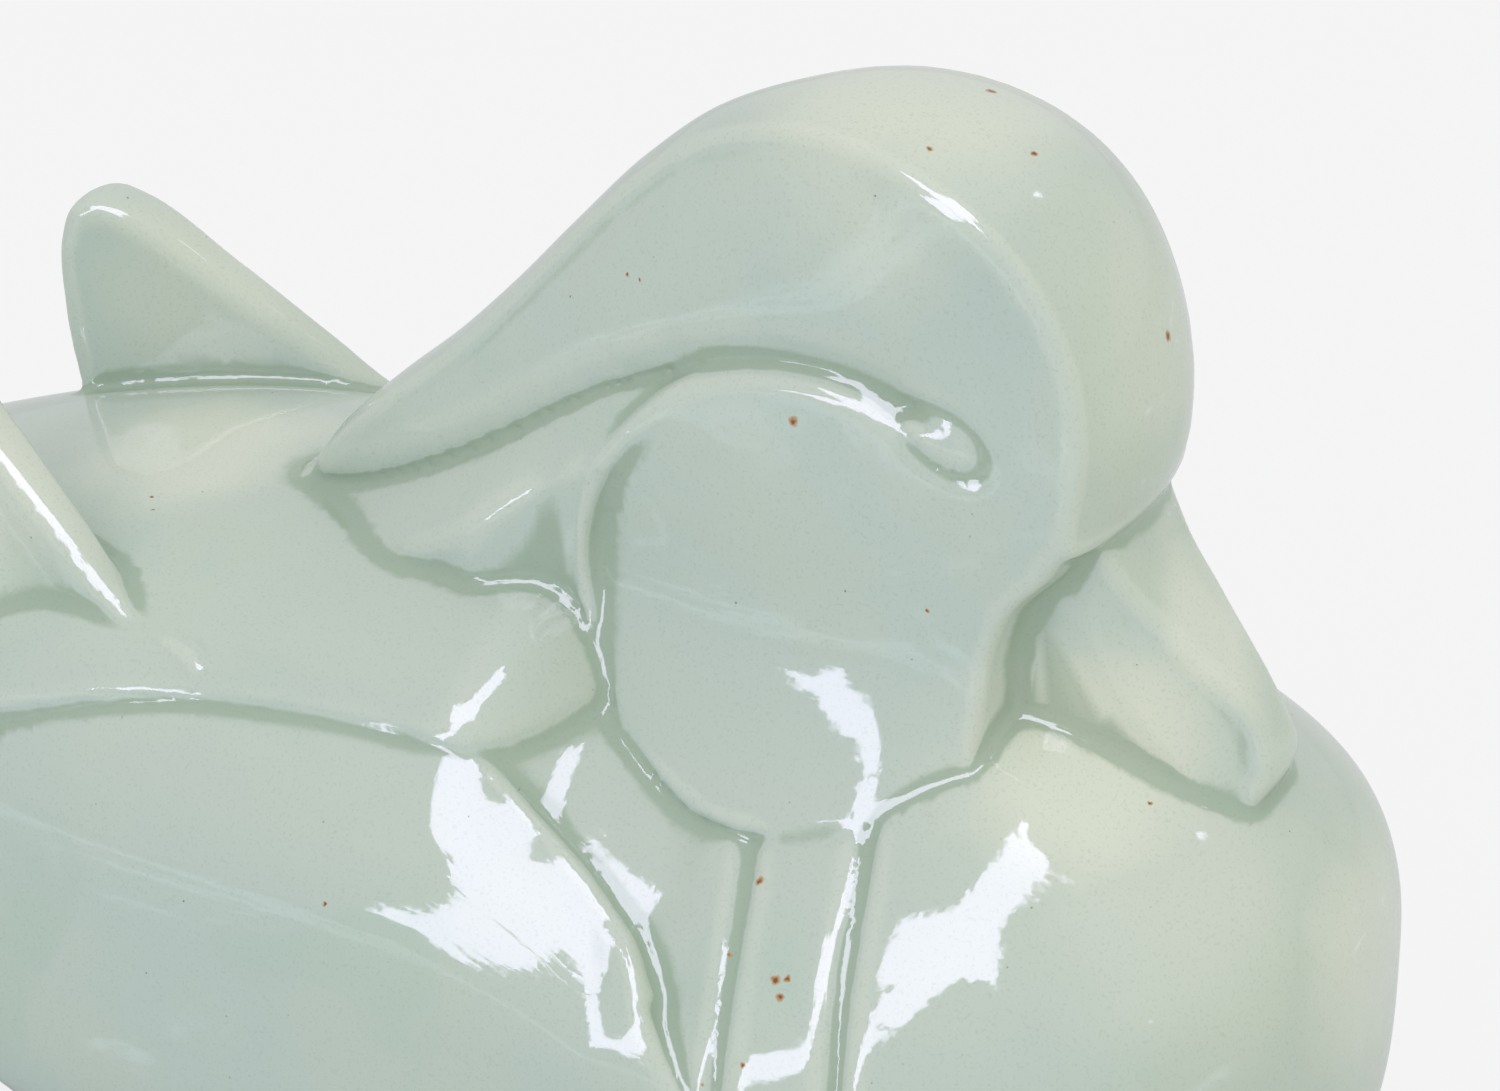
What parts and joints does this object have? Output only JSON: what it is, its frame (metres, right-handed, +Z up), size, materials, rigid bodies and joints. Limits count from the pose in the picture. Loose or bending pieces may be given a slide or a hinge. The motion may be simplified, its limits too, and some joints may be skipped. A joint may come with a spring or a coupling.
{
  "type": "mandarin duck figure",
  "caption": "Seated mandarin duck figure with a long crest, a carved cheek, wings in relief and raised sail feathers, cast hollow in glazed porcelain, for display.",
  "frame": {"origin": "centre of the figure's bounding box on the plane of its flat base", "axes": "+X towards the bill along the body, +Y to the bird's left side, +Z up from the base"},
  "size_m": [0.2618, 0.126, 0.1707],
  "materials": {
    "celadon_glaze": "glossy pale celadon glaze over porcelain"
  },
  "bodies": {
    "root": {"mandarin_duck": "celadon_glaze"}
  },
  "joints": []
}
